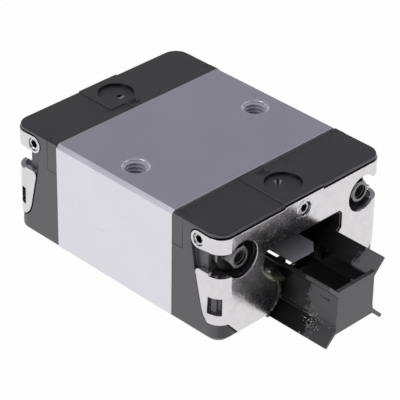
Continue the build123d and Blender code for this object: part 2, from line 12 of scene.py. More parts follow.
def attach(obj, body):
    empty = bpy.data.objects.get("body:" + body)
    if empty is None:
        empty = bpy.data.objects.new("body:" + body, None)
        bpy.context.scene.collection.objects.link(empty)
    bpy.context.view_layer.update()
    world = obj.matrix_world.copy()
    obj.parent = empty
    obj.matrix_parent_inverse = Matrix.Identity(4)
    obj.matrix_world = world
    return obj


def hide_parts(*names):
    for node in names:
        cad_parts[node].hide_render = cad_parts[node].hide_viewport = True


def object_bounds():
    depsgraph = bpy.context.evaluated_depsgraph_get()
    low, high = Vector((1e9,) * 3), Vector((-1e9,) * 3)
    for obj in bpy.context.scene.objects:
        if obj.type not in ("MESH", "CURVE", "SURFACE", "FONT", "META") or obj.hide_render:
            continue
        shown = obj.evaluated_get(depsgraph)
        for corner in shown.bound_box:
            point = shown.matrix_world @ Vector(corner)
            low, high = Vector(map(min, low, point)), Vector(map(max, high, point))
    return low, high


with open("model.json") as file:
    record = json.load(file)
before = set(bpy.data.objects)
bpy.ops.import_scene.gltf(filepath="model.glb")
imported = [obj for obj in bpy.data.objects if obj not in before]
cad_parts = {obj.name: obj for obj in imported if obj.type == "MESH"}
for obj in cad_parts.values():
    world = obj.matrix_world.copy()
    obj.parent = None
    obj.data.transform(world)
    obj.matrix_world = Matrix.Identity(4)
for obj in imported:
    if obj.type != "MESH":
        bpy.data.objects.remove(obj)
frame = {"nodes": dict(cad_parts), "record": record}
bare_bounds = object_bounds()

bl_info = {
    "name": "Linear Guide Carriage",
    "version": (1, 0, 0),
    "blender": (4, 5, 0),
    "location": "3D View > Sidebar > Carriage",
    "description": "Finishes a ball linear guide carriage on its transport arbor",
    "category": "Object",
}

MM = 0.001
NODE_SLOTS = {row["node"]: row["material_slot"] for row in frame["record"]["subparts"]}
NODE_BODIES = {node: body for body, nodes in frame["record"]["behaviour"]["bodies"].items()
               for node in nodes}
MOUNTS = {mount["name"]: mount for mount in frame["record"]["mounts"]}
ENDS = ("front", "rear")
SIDES = ("left", "right")

# Studio, in metres
FLOOR_HALF = 6.0
CEILING_HALF = 5.0
CEILING_HEIGHT = 1.6
KEY_SIZE = (0.45, 0.3)
KEY_PLACE = (-0.1, -0.62, 0.5)
RIM_SIZE = (0.3, 0.3)
RIM_PLACE = (0.43, 0.48, 0.48)

# Angles between faces from which edges are rounded, or kept hard in the shading
ROUNDED_ANGLE = radians(32)
CREASE_ANGLE = radians(50)
THREAD_CREASE_ANGLE = radians(35)

# A thread's section: half widths at its crest and root as shares of the pitch
THREAD_CREST = 0.07
THREAD_ROOT = 0.44
THREAD_BURIED = 0.46
THREAD_SINK = 0.05 * MM

# How far from its axis a mounting hole's faces reach, with the countersink
MOUNT_HOLE_REACH = 3.0 * MM

# Marks, smears, painted light and painted shade of this one carriage, in millimetres
# The round recess in the end caps, whose wall gets painted shade
RECESS_PLACE = 22.95
RECESS_RADIUS = 3.6
PIT_PLACE = 21.65
PIT_RADIUS = 0.85
# Directions and colour of the two painted highlight streaks in the pit
PIT_HIGHLIGHT_ANGLES = (radians(160), radians(119))
PIT_HIGHLIGHT_COLOUR = (0.3, 0.3, 0.31)
RING_PITCH = 0.09
SCRATCH = ((-5.1, -22.0, -13.7), (-1.7, -22.0, -13.3))
GREASE_X = 28.35
GREASE = {
    "front_upper_grease": (
        3.2, ((-10.5, -11.4), (-9.2, -11.7), (-8.2, -12.0), (-7.0, -13.2), (-5.9, -14.4),
              (-5.45, -15.4), (-5.5, -16.4), (-7.2, -16.0), (-8.92, -15.2), (-10.5, -13.0))),
    "front_waist_grease": (
        1.0, ((-5.45, -16.6), (-5.35, -18.3), (-5.4, -20.3), (-6.6, -21.2), (-8.4, -22.7),
              (-9.2, -23.2), (-7.4, -22.0), (-6.2, -20.6), (-6.3, -18.2), (-6.9, -16.2))),
}
# Lines along the grease's edges that get painted highlights
GREASE_HIGHLIGHT_LINES = (
    ((28.9, -10.4, -11.9), (28.9, -9.5, -12.9)),
    ((29.0, -9.5, -14.6), (29.6, -6.0, -16.3)),
    ((28.8, -5.6, -18.9), (28.8, -6.2, -20.7)),
    ((28.8, -6.2, -20.7), (28.8, -9.0, -23.1)),
)
GREASE_INSET = 0.35
# Colour of the painted highlights on the grease
GREASE_HIGHLIGHT_COLOUR = (0.62, 0.62, 0.56)
# Where the arbor's inner floor gets painted light and where its inside gets painted shade
DECK_HALF = 4.05
DECK_END = 29.95
DECK_CORNER = 31.75
TABS_END = 33.0
WALL_INSIDE = 4.1
WALL_OUTSIDE = 4.7
END_WALL_INSIDE = 40.8
WAIST_DEPTH = 13.9
FLARE_DEPTH = 21.2
OIL_EDGE = 34.2
CRUMB_CENTRE = 36.4
CRUMB_SPREAD = 1.15
CRUMB_TOP = (0, -5.08, -19.0)
CRUMB_BEND = (0, -5.2, -21.3)
CRUMB_FOOT = (0, -7.8, -23.9)
CRUMB_BEND_SHARE = 0.4


# Sizes and colours


class CarriageSizes(bpy.types.PropertyGroup):
    """Sizes of the finishing detail."""

    steel_edge: FloatProperty(
        name="Steel Edge", description="Width of the broken edges of the steel body",
        default=0.08 * MM, unit="LENGTH", precision=5)
    moulded_edge: FloatProperty(
        name="Moulded Edge", description="Width of the rounded edges of moulded pieces",
        default=0.12 * MM, unit="LENGTH", precision=5)
    sheet_edge: FloatProperty(
        name="Sheet Edge", description="Width of the rounded edges of the cover plates",
        default=0.08 * MM, unit="LENGTH", precision=5)
    mount_pitch: FloatProperty(
        name="Mounting Thread Pitch", description="Pitch of the threads in the top face",
        default=0.8 * MM, unit="LENGTH", precision=5)
    mount_thread_depth: FloatProperty(
        name="Mounting Thread Depth", description="Depth to which the top holes are threaded",
        default=7.5 * MM, unit="LENGTH", precision=5)
    screw_pitch: FloatProperty(
        name="Screw Thread Pitch", description="Pitch of the threads in the end screws",
        default=0.5 * MM, unit="LENGTH", precision=5)
    screw_thread_depth: FloatProperty(
        name="Screw Thread Depth", description="Depth to which the end screws are threaded",
        default=2.7 * MM, unit="LENGTH", precision=5)
    socket_radius: FloatProperty(
        name="Socket Radius", description="Radius of the key sockets in the port screws",
        default=0.95 * MM, unit="LENGTH", precision=5)
    grease_height: FloatProperty(
        name="Grease Height", description="How far the grease stands out of the front opening",
        default=0.45 * MM, unit="LENGTH", precision=5)
    crumb_radius: FloatProperty(
        name="Crumb Radius", description="Radius of the largest crumbs on the arbor",
        default=0.24 * MM, unit="LENGTH", precision=5)
    crumb_count: IntProperty(
        name="Crumbs", description="How many crumbs lie on the arbor", default=85, min=0)
    thread_steps: IntProperty(
        name="Thread Steps", description="Steps in one turn of a thread", default=40, min=12)


class CarriageColours(bpy.types.PropertyGroup):
    """Colours of the finishes."""

    steel: FloatVectorProperty(
        name="Ground Steel", description="Colour of the ground steel body",
        default=(0.73, 0.72, 0.775), subtype="COLOR", min=0, max=1)
    sheet: FloatVectorProperty(
        name="Stainless Sheet", description="Colour of the cover plates",
        default=(0.71, 0.685, 0.705), subtype="COLOR", min=0, max=1)
    screw: FloatVectorProperty(
        name="Screws", description="Colour of the turned screws",
        default=(0.22, 0.215, 0.22), subtype="COLOR", min=0, max=1)
    plastic: FloatVectorProperty(
        name="Black Plastic", description="Colour of the moulded end caps",
        default=(0.006, 0.006, 0.0066), subtype="COLOR", min=0, max=1)
    arbor: FloatVectorProperty(
        name="Arbor Plastic", description="Colour of the transport arbor",
        default=(0.012, 0.012, 0.013), subtype="COLOR", min=0, max=1)
    rubber: FloatVectorProperty(
        name="Seal Rubber", description="Colour of the seals",
        default=(0.05, 0.05, 0.052), subtype="COLOR", min=0, max=1)
    grease: FloatVectorProperty(
        name="Grease", description="Colour of the grease at the front opening",
        default=(0.15, 0.155, 0.085), subtype="COLOR", min=0, max=1)
    crumbs: FloatVectorProperty(
        name="Crumbs", description="Colour of the crumbs on the arbor",
        default=(0.55, 0.54, 0.50), subtype="COLOR", min=0, max=1)
    backdrop: FloatVectorProperty(
        name="Backdrop", description="Colour of the floor and backdrop",
        default=(1.0, 1.0, 1.0), subtype="COLOR", min=0, max=1)


class StudioSettings(bpy.types.PropertyGroup):
    """Camera and lights of the studio."""

    target_height: FloatProperty(
        name="Target Height", description="Height of the point that the camera turns about",
        default=-12.0 * MM, unit="LENGTH", precision=5)
    azimuth: FloatProperty(
        name="Azimuth", description="Direction of the camera round the carriage",
        default=radians(45.08), subtype="ANGLE")
    elevation: FloatProperty(
        name="Elevation", description="Angle of the camera above the horizon",
        default=radians(32.70), subtype="ANGLE")
    roll: FloatProperty(
        name="Roll", description="Turn of the camera about its own axis",
        default=radians(0.86), subtype="ANGLE")
    distance: FloatProperty(
        name="Distance", description="Distance of the camera from the target",
        default=427.82 * MM, unit="LENGTH", precision=5)
    pan_right: FloatProperty(
        name="Pan Right", description="Shift of the camera to its right",
        default=0.74 * MM, unit="LENGTH", precision=5)
    pan_up: FloatProperty(
        name="Pan Up", description="Shift of the camera upwards",
        default=-2.35 * MM, unit="LENGTH", precision=5)
    lens: FloatProperty(
        name="Lens", description="Focal length of the camera in millimetres", default=197.45)
    key_power: FloatProperty(
        name="Key Lamp", description="Power of the main soft lamp in watts", default=2.0)
    rim_power: FloatProperty(
        name="Rim Lamp", description="Power in watts of the lamp that lights the front rims",
        default=0.5)
    ceiling_level: FloatProperty(
        name="Ceiling Level", description="Brightness of the grey ceiling card", default=0.25)
    ceiling_tint: FloatVectorProperty(
        name="Ceiling Tint", description="Colour of the ceiling card",
        default=(1.0, 0.975, 1.1), subtype="COLOR", min=0, max=2)
    world_level: FloatProperty(
        name="World Level", description="Brightness of the light from all round", default=0.45)
    floor_glow: FloatProperty(
        name="Floor Glow", description="Share of the floor that is plain white to the camera",
        default=0.98, min=0, max=1)


# Shader expressions


class Term:
    """An output of a node; sums, differences and products of it add Math nodes."""

    def __init__(self, nodes, socket):
        self.nodes = nodes
        self.socket = socket

    def __add__(self, other):
        return self.nodes.maths("ADD", self, other)

    __radd__ = __add__

    def __sub__(self, other):
        return self.nodes.maths("SUBTRACT", self, other)

    def __rsub__(self, other):
        return self.nodes.maths("SUBTRACT", other, self)

    def __mul__(self, other):
        return self.nodes.maths("MULTIPLY", self, other)

    __rmul__ = __mul__

    def __abs__(self):
        return self.nodes.maths("ABSOLUTE", self)


class Nodes:
    """A node tree being built, for a material or the world."""

    def __init__(self, tree):
        self.tree = tree
        self.tree.nodes.clear()

    def node(self, kind, settings=None, inputs=None, output=0):
        """Add a node: its settings first, then its values and links. Returns one output."""
        node = self.tree.nodes.new(kind)
        for name, value in (settings or {}).items():
            setattr(node, name, value)
        for name, value in (inputs or {}).items():
            if isinstance(value, Term):
                self.tree.links.new(value.socket, node.inputs[name])
            else:
                node.inputs[name].default_value = value
        return Term(self, node.outputs[output]) if node.outputs else None

    def maths(self, operation, *values):
        return self.node("ShaderNodeMath", {"operation": operation}, dict(enumerate(values)))

    def larger(self, first, second):
        return self.maths("MAXIMUM", first, second)

    def mixed(self, share, first, second):
        """A shader between two shaders."""
        return self.node("ShaderNodeMixShader", inputs={0: share, 1: first, 2: second})

    def seen(self):
        """1 to rays from the camera, from a shiny surface or through a clear one, and else 0."""
        camera, glossy, through = (self.node("ShaderNodeLightPath", output=f"Is {way} Ray")
                                   for way in ("Camera", "Glossy", "Transmission"))
        return self.larger(self.larger(camera, glossy), through)


class Finish(Nodes):
    """A material being built: the shaders of one finish and the nodes that feed them."""

    def __init__(self, name):
        self.material = bpy.data.materials.new(f"{name}_finish")
        self.material.use_nodes = True
        super().__init__(self.material.node_tree)
        self.place = self.node("ShaderNodeTexCoord", output="Object")
        self.axes = self.split(self.place)

    def split(self, vector):
        """The three numbers of a vector."""
        return [self.node("ShaderNodeSeparateXYZ", inputs={0: vector}, output=axis)
                for axis in "XYZ"]

    def step(self, value, low, high):
        """Smoothly from 0 where value is low to 1 where it is high."""
        return self.node("ShaderNodeMapRange", {"interpolation_type": "SMOOTHSTEP"},
                         {"Value": value, "From Min": low, "From Max": high})

    def past(self, value, place, blur=0.2):
        """From 0 up to a place, in millimetres, to 1 just past it."""
        return self.step(value, place * MM, (place + blur) * MM)

    def short_of(self, value, place, blur=0.2):
        """From 1 up to a place, in millimetres, to 0 just past it."""
        return 1 - self.past(value, place, blur)

    def distance(self, first, second):
        """Length of a line that goes so far along one axis and so far along another."""
        return self.maths("SQRT", first * first + second * second)

    def scaled(self, x, y, z, turn=(0, 0, 0)):
        """Object coordinates in metres, times a number for each axis."""
        return self.node("ShaderNodeMapping", inputs={
            "Vector": self.place, "Scale": (x, y, z), "Rotation": turn})

    def noise(self, vector, scale=1.0, detail=2.0, roughness=0.5, distortion=0.0):
        return self.node("ShaderNodeTexNoise", inputs={
            "Vector": vector, "Scale": scale, "Detail": detail, "Roughness": roughness,
            "Distortion": distortion}, output="Fac")

    def facing(self, axis):
        """Part of the surface's own direction along an axis of the object."""
        normal = self.node("ShaderNodeTexCoord", output="Normal")
        return self.node("ShaderNodeSeparateXYZ", inputs={0: normal}, output=axis)

    def mark(self, line, width, depth):
        """From 0 to 1 on a short straight mark between two points, within a depth of them."""
        start, end = (Vector(point) * MM for point in line)
        way = end - start
        middle = (start + end) / 2
        turn = way.to_track_quat("X", "Z").inverted().to_euler()
        moved = self.node("ShaderNodeVectorMath", {"operation": "SUBTRACT"},
                          {0: self.place, 1: middle}, output="Vector")
        local = self.node("ShaderNodeMapping", inputs={"Vector": moved, "Rotation": turn})
        along, across, over = self.split(local)
        half = way.length / 2
        return ((1 - self.step(abs(along), 0.6 * half, half))
                * (1 - self.step(abs(across), depth / 2, depth))
                * (1 - self.step(abs(over), 0.2 * width, width)))

    def blend(self, share, first, second):
        """A colour between two colours."""
        node = self.tree.nodes.new("ShaderNodeMix")
        node.data_type = "RGBA"
        for name, value in (("Factor", share), ("A", first), ("B", second)):
            socket = next(s for s in node.inputs if s.name == name and s.enabled)
            if isinstance(value, Term):
                self.tree.links.new(value.socket, socket)
            else:
                socket.default_value = value if name == "Factor" else (*value[:3], 1.0)
        return Term(self, next(s for s in node.outputs if s.enabled))

    def bump(self, height, distance, strength=1.0):
        return self.node("ShaderNodeBump", inputs={
            "Height": height, "Distance": distance, "Strength": strength}, output="Normal")

    def shader(self, **sockets):
        """A Principled shader; underscores in the names stand for spaces."""
        inputs = {name.replace("_", " "): value for name, value in sockets.items()}
        if not isinstance(inputs["Base Color"], Term):
            inputs["Base Color"] = (*inputs["Base Color"][:3], 1.0)
        return self.node("ShaderNodeBsdfPrincipled", inputs=inputs)

    def close(self, shader):
        self.node("ShaderNodeOutputMaterial", inputs={"Surface": shader})
        return self.material

    def surface(self, **sockets):
        """Close the material with one Principled shader."""
        return self.close(self.shader(**sockets))


def shade(colour, factor):
    """A colour made lighter or darker."""
    return tuple(min(1.0, channel * factor) for channel in colour[:3])


def ground_steel():
    """Fine ground faces: grinding lines along the rail, faint clouds of oil and a scratch."""
    colour = bpy.context.scene.carriage_colours.steel
    finish = Finish("ground_steel")
    lines = finish.noise(finish.scaled(160, 9000, 9000), detail=3, roughness=0.6)
    grain = finish.noise(finish.place, scale=3800, detail=2)
    cloud = finish.noise(finish.place, scale=120, detail=3, distortion=0.4)
    upward = finish.step(finish.facing("Z"), 0.5, 0.9)
    tone = finish.step(0.45 * lines + 0.3 * grain + 0.25 * cloud, 0.3, 0.7)
    ground = finish.blend(tone, shade(colour, 0.945), shade(colour, 1.03))
    scratch = finish.mark(SCRATCH, 0.07 * MM, 0.3 * MM)
    return finish.surface(
        Base_Color=finish.blend(0.5 * scratch, ground, shade(colour, 0.4)),
        Metallic=1.0,
        Roughness=0.29 + 0.10 * cloud + 0.08 * lines + 0.04 * upward,
        Normal=finish.bump(0.6 * lines + 0.4 * grain - scratch, 0.003 * MM))


def black_plastic():
    """Satin moulded plastic with a fine spark-eroded grain and faint scuffs; painted shade on the
    wall of the round recess, low on the end faces and in the pit, with two painted highlight
    streaks in the pit.
    """
    colour = bpy.context.scene.carriage_colours.plastic
    finish = Finish("black_plastic")
    grain = finish.noise(finish.place, scale=6500, detail=2)
    cloud = finish.noise(finish.place, scale=170, detail=4, roughness=0.6)
    scuff = finish.step(finish.noise(finish.scaled(300, 2600, 900, (0.3, 0.2, 0.7)), detail=2),
                        0.68, 0.8)
    clean = finish.shader(
        Base_Color=finish.blend(0.5 * cloud + 0.4 * scuff, shade(colour, 0.5), shade(colour, 3.4)),
        Roughness=0.30 + 0.14 * cloud + 0.08 * grain,
        IOR=2.0,
        Specular_Tint=(0.97, 0.955, 1.0, 1.0),
        Normal=finish.bump(grain, 0.007 * MM))
    # Painted shade: a darker, glossier copy of the plastic for the wall of the round recess, the
    # low end faces and the pit, where shade falls.
    painted_shade = finish.shader(
        Base_Color=finish.blend(cloud, shade(colour, 0.2), shade(colour, 0.8)),
        Roughness=0.16 + 0.1 * cloud,
        Specular_IOR_Level=0.2)
    outward, across, height = abs(finish.axes[0]), *finish.axes[1:]
    # Painted shade goes on the wall of the round recess and, at a share of 0.45, low on the faces
    # that look along the rail.
    recess_wall = abs(finish.distance(outward - RECESS_PLACE * MM, across) - RECESS_RADIUS * MM)
    foot_shade = finish.step(abs(finish.facing("X")), 0.5, 0.8) * finish.past(-1 * height, 19, 2)
    painted_shade_share = finish.larger(finish.short_of(recess_wall, 0.06, 0.1), 0.45 * foot_shade)
    # Painted highlight: two light streaks in the cone of the pit stand in for reflections; the
    # rest of the pit gets painted shade.
    pit_highlight = finish.shader(Base_Color=PIT_HIGHLIGHT_COLOUR, Roughness=0.35 + 0.2 * grain)
    off = outward - PIT_PLACE * MM
    pit = finish.short_of(finish.distance(off, across), PIT_RADIUS, 0.1)
    turn = finish.maths("ARCTAN2", across + 0.65 * MM, off - 0.75 * MM)
    highlight_streak = finish.larger(*(1 - finish.step(abs(turn - angle), 0.10, 0.26)
                             for angle in PIT_HIGHLIGHT_ANGLES))
    clean_or_pit = finish.mixed(pit, clean, finish.mixed(highlight_streak, painted_shade, pit_highlight))
    return finish.close(finish.mixed(painted_shade_share, clean_or_pit, painted_shade))


def stainless_sheet():
    """Bright rolled sheet: slightly dimpled, with fine scratches and oily blotches."""
    colour = bpy.context.scene.carriage_colours.sheet
    finish = Finish("stainless_sheet")
    dimples = finish.noise(finish.place, scale=1400, detail=2)
    fine = finish.noise(finish.scaled(2500, 9000, 2500, (0.4, 0, 0)), detail=2)
    blotch = finish.step(finish.noise(finish.place, scale=420, detail=4, roughness=0.65), 0.4, 0.7)
    speck = finish.step(finish.noise(finish.place, scale=4600, detail=1), 0.60, 0.74)
    return finish.surface(
        Base_Color=finish.blend(blotch, colour, shade(colour, 0.93)),
        Metallic=1.0,
        Roughness=0.155 + 0.07 * blotch + 0.06 * fine + 0.08 * speck,
        Normal=finish.bump(0.87 * dimples + 0.1 * fine + 0.03 * speck, 0.018 * MM))


def turned_screw():
    """Turned steel: rings round each screw's own axis."""
    colour = bpy.context.scene.carriage_colours.screw
    finish = Finish("turned_screw")
    centre = MOUNTS["front_screw_threads"]
    half = centre["dims"]["spacing_x_mm"] / 2 * MM
    across = abs(finish.axes[1]) - half
    height = finish.axes[2] - centre["pos_m"][2]
    rings = finish.maths("SINE", finish.distance(across, height) * (2 * pi / (RING_PITCH * MM)))
    stain = finish.noise(finish.place, scale=1500, detail=3)
    return finish.surface(
        Base_Color=finish.blend(stain, shade(colour, 0.7), shade(colour, 1.4)),
        Metallic=1.0,
        Roughness=0.27 + 0.16 * stain,
        Normal=finish.bump(rings, 0.0015 * MM))


def bore_shade():
    """Steel made darker inside small sockets and tapped ends as painted shade, under a mottled
    oily film.
    """
    colour = bpy.context.scene.carriage_colours.screw
    finish = Finish("bore_shade")
    film = finish.noise(finish.place, scale=2400, detail=2)
    return finish.surface(
        Base_Color=finish.blend(film, shade(colour, 0.10), shade(colour, 0.40)),
        Metallic=1.0,
        Roughness=0.25 + 0.2 * film,
        Normal=finish.bump(film, 0.003 * MM))


def set_screw():
    """Grey set screws, worn bright where the key goes in."""
    colour = bpy.context.scene.carriage_colours.screw
    finish = Finish("set_screw")
    worn = finish.step(finish.noise(finish.place, scale=2600, detail=3), 0.45, 0.7)
    return finish.surface(
        Base_Color=finish.blend(worn, shade(colour, 2.3), shade(colour, 3.8)),
        Metallic=1.0,
        Roughness=0.36 - 0.14 * worn,
        Normal=finish.bump(worn, 0.004 * MM))


def thread_steel():
    """Cut thread flanks, with tool marks along the turns, painted lighter than the body and only
    partly metallic as a painted highlight.
    """
    colour = bpy.context.scene.carriage_colours.steel
    finish = Finish("thread_steel")
    marks = finish.noise(finish.scaled(1200, 1200, 9000), detail=2)
    return finish.surface(
        Base_Color=finish.blend(marks, shade(colour, 0.95), shade(colour, 1.3)),
        Metallic=0.72,
        Roughness=0.18 + 0.14 * marks,
        Normal=finish.bump(marks, 0.003 * MM))


def seal_rubber():
    """Moulded rubber under a film of oil."""
    colour = bpy.context.scene.carriage_colours.rubber
    finish = Finish("seal_rubber")
    film = finish.step(finish.noise(finish.place, scale=650, detail=3), 0.35, 0.65)
    grain = finish.noise(finish.place, scale=5000, detail=2)
    return finish.surface(
        Base_Color=finish.blend(film, shade(colour, 0.7), shade(colour, 1.3)),
        Roughness=0.5 - 0.22 * film,
        Coat_Weight=0.6 * film,
        Coat_Roughness=0.12,
        Normal=finish.bump(grain, 0.006 * MM))


def arbor_plastic():
    """Moulded arbor: dull and grey at its end, black under oil near the carriage, with painted
    light on the top of its inner floor and painted shade inside it.
    """
    colour = bpy.context.scene.carriage_colours.arbor
    finish = Finish("arbor_plastic")
    along, across, height = finish.axes
    ragged = finish.noise(finish.place, scale=480, detail=5, roughness=0.72, distortion=0.5)
    grain = finish.noise(finish.place, scale=5200, detail=2)
    flow = finish.noise(finish.scaled(260, 1500, 1500), detail=3)
    up = finish.step(finish.facing("Z"), 0.7, 0.95)
    outer_left = (finish.step(-1 * finish.facing("Y"), 0.3, 0.7)
                  * finish.past(-1 * across, WALL_OUTSIDE))
    inward = finish.step(-1 * finish.facing("Y") * across, 1 * MM, 2 * MM)
    # Painted light: the upward face of the inner floor is made light grey, standing in for light
    # caught in the shade of the channel; it is kept clear of oil and painted shade.
    painted_light_deck = (up * finish.short_of(abs(across), DECK_HALF)
            * finish.short_of(along, DECK_END, 0.15)
            * finish.short_of(along + across, DECK_CORNER))
    flare = outer_left * finish.past(-1 * height, FLARE_DEPTH, 0.6)
    edge = OIL_EDGE * MM + 7.0 * MM * ragged - outer_left * (2.6 * MM - 0.18 * (height + 18 * MM))
    reach = along - edge - 3.2 * MM * flare
    oil = (1 - painted_light_deck) * finish.larger(0.27 * outer_left + 0.25 * flare,
                                     finish.short_of(reach, -0.35, 0.7))
    # Painted shade: the inside of the arbor, the inner faces of its walls below the waist and its
    # upward faces near the carriage get a near-black shader.
    hollow = finish.short_of(along, END_WALL_INSIDE)
    inside = finish.short_of(abs(across), WALL_INSIDE, 0.18) * hollow
    under = inward * finish.past(-1 * height, WAIST_DEPTH, 0.4) * hollow
    tabs = up * finish.short_of(along, TABS_END, 0.4)
    dark = (1 - painted_light_deck) * finish.larger(inside, finish.larger(under, tabs))
    dull = finish.blend(ragged, shade(colour, 0.4), shade(colour, 1.1))
    dry = finish.shader(
        # Painted light on the inner floor's top: 36 times the arbor's colour
        Base_Color=finish.blend(painted_light_deck, dull, shade(colour, 36.0)),
        Roughness=0.36 + 0.12 * flow,
        IOR=1.95,
        Specular_Tint=(0.97, 0.955, 1.0, 1.0),
        Normal=finish.bump(0.5 * flow + 0.5 * grain, 0.009 * MM))
    oily = finish.shader(
        Base_Color=finish.blend(flow, shade(colour, 0.6), shade(colour, 1.3)),
        Roughness=0.24 + 0.12 * flow,
        Specular_IOR_Level=0.15,
        Normal=finish.bump(0.7 * flow + 0.3 * grain, 0.010 * MM))
    # Painted shade: a darker, barely glossy copy of the plastic.
    shaded = finish.shader(
        Base_Color=shade(colour, 0.4),
        Roughness=0.4 + 0.1 * flow,
        Specular_IOR_Level=0.04)
    return finish.close(finish.mixed(dark, finish.mixed(oil, dry, oily), shaded))


def guide_plastic():
    """Oily inner mouldings that carry the balls."""
    colour = bpy.context.scene.carriage_colours.plastic
    finish = Finish("guide_plastic")
    film = finish.noise(finish.place, scale=700, detail=3)
    return finish.surface(
        Base_Color=finish.blend(film, shade(colour, 1.0), shade(colour, 2.4)),
        Roughness=0.22 + 0.2 * film,
        Normal=finish.bump(film, 0.006 * MM))


def race_steel():
    """Hardened and ground raceways."""
    colour = bpy.context.scene.carriage_colours.steel
    finish = Finish("race_steel")
    lines = finish.noise(finish.scaled(200, 8000, 8000), detail=2)
    return finish.surface(
        Base_Color=finish.blend(lines, shade(colour, 0.85), shade(colour, 1.0)),
        Metallic=1.0,
        Roughness=0.2 + 0.12 * lines,
        Normal=finish.bump(lines, 0.002 * MM))


def ball_steel():
    """Polished balls with a thin coat of grease."""
    colour = bpy.context.scene.carriage_colours.sheet
    finish = Finish("ball_steel")
    smear = finish.step(finish.noise(finish.place, scale=900, detail=2), 0.4, 0.7)
    return finish.surface(
        Base_Color=finish.blend(smear, colour, shade(colour, 0.8)),
        Metallic=1.0,
        Roughness=0.06 + 0.16 * smear,
        Normal=finish.bump(smear, 0.002 * MM))


def grease_film():
    """Translucent olive grease, painted darker as shade above a slanting line and on its waist,
    lighter towards its lower left, with pale painted highlights along lines at its edges.
    """
    colour = bpy.context.scene.carriage_colours.grease
    finish = Finish("grease_film")
    lumps = finish.noise(finish.place, scale=1600, detail=3)
    across, height = finish.axes[1:]
    # Painted light and shade: the grease is made lighter below a slanting line and towards its
    # left, and darker on its waist.
    drop = -1 * height - 12.7 * MM - 0.55 * (across + 10.5 * MM)
    waist = finish.past(-1 * height, 16.3, 0.6)
    left = finish.past(-1 * across, 6.8, 2.6)
    lit = finish.step(drop, -0.2 * MM, 0.5 * MM) * (0.45 + 0.55 * left) * (1 - 0.85 * waist)
    # Painted highlights: pale lines along the grease's edges, made more opaque.
    highlight = 0
    for line in GREASE_HIGHLIGHT_LINES:
        highlight = finish.larger(highlight, finish.mark(line, 0.26 * MM, 2.2 * MM))
    highlight = highlight * finish.step(lumps, 0.42, 0.56)
    olive = finish.blend(lumps, shade(colour, 0.9), shade(colour, 3.0))
    return finish.surface(
        Base_Color=finish.blend(highlight, finish.blend(lit, shade(colour, 0.12), olive), GREASE_HIGHLIGHT_COLOUR),
        Roughness=0.12 + 0.15 * lumps,
        IOR=1.47,
        Alpha=0.50 + 0.3 * lumps + 0.4 * highlight - 0.2 * waist,
        Coat_Weight=0.8,
        Coat_Roughness=0.05,
        Normal=finish.bump(lumps, 0.03 * MM))


def crumb_grey():
    """Pale crumbs of dried grease and dust."""
    colour = bpy.context.scene.carriage_colours.crumbs
    finish = Finish("crumb_grey")
    speck = finish.noise(finish.place, scale=3500, detail=3)
    return finish.surface(
        Base_Color=finish.blend(speck, shade(colour, 0.35), shade(colour, 1.5)),
        Roughness=0.3 + 0.3 * speck,
        Normal=finish.bump(speck, 0.02 * MM))


SLOT_FINISHES = {
    "ground_steel": ground_steel,
    "race_steel": race_steel,
    "ball_steel": ball_steel,
    "stainless_sheet": stainless_sheet,
    "screw_steel": turned_screw,
    "black_plastic": black_plastic,
    "guide_plastic": guide_plastic,
    "seal_rubber": seal_rubber,
    "arbor_plastic": arbor_plastic,
}


def material_for(make):
    """The material that a function makes, made only once."""
    return bpy.data.materials.get(f"{make.__name__}_finish") or make()


# Shaping helpers


def new_piece(name, bm, material, node, replaces=False):
    """Put a finished mesh into the scene, on the body that carries the given CAD node."""
    mesh = bpy.data.meshes.new(name)
    bm.to_mesh(mesh)
    bm.free()
    mesh.shade_smooth()
    mesh.materials.append(material)
    piece = bpy.data.objects.new(name, mesh)
    bpy.context.scene.collection.objects.link(piece)
    flat_faces = piece.modifiers.new("Even Shading", "WEIGHTED_NORMAL")
    flat_faces.keep_sharp = True
    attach(piece, NODE_BODIES[node])
    if replaces:
        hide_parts(node)
    return piece


def clean_copy(node):
    """A CAD node's shape with its triangles joined into whole faces."""
    bm = bmesh.new()
    bm.from_mesh(frame["nodes"][node].data)
    bmesh.ops.remove_doubles(bm, verts=bm.verts, dist=0.0005 * MM)
    bmesh.ops.dissolve_limit(bm, angle_limit=radians(0.6), verts=bm.verts, edges=bm.edges)
    return bm


def round_edges(bm, width):
    """Round the sharp edges; no rounded corner may leave the surface that it started from."""
    surface = BVHTree.FromBMesh(bm)
    sharp = [edge for edge in bm.edges
             if len(edge.link_faces) == 2 and edge.calc_face_angle() > ROUNDED_ANGLE
             and edge.calc_length() > 2 * width]
    bmesh.ops.bevel(bm, geom=sharp, offset=width, offset_type="OFFSET", segments=2,
                    profile=0.5, affect="EDGES", material=-1, clamp_overlap=False)
    for vert in bm.verts:
        nearest, _, _, distance = surface.find_nearest(vert.co)
        if distance > width:
            vert.co = nearest
    bmesh.ops.remove_doubles(bm, verts=bm.verts, dist=0.002 * MM)


def mark_sharp(bm, angle=CREASE_ANGLE):
    """Keep hard edges hard when the faces are shaded smooth."""
    for edge in bm.edges:
        edge.smooth = len(edge.link_faces) == 2 and edge.calc_face_angle() < angle


def finish_node(node, width, material=None):
    """Stand a clean, round-edged copy in for a CAD node."""
    bm = clean_copy(node)
    round_edges(bm, width)
    mark_sharp(bm)
    return new_piece(f"{node}_finished", bm,
                     material or material_for(SLOT_FINISHES[NODE_SLOTS[node]]), node,
                     replaces=True)


def dress_node(node):
    """Give a CAD node that stays as it is its finish."""
    slots = frame["nodes"][node].material_slots
    slots[0].material = material_for(SLOT_FINISHES[NODE_SLOTS[node]])


def hole_pair(mount, spacing):
    """The names and mouths of a mount's two holes."""
    half = MOUNTS[mount]["dims"][spacing] / 2 * MM
    for name, side in (("left", -1), ("right", 1)):
        yield name, Vector(MOUNTS[mount]["pos_m"]) + Vector((0, side * half, 0))


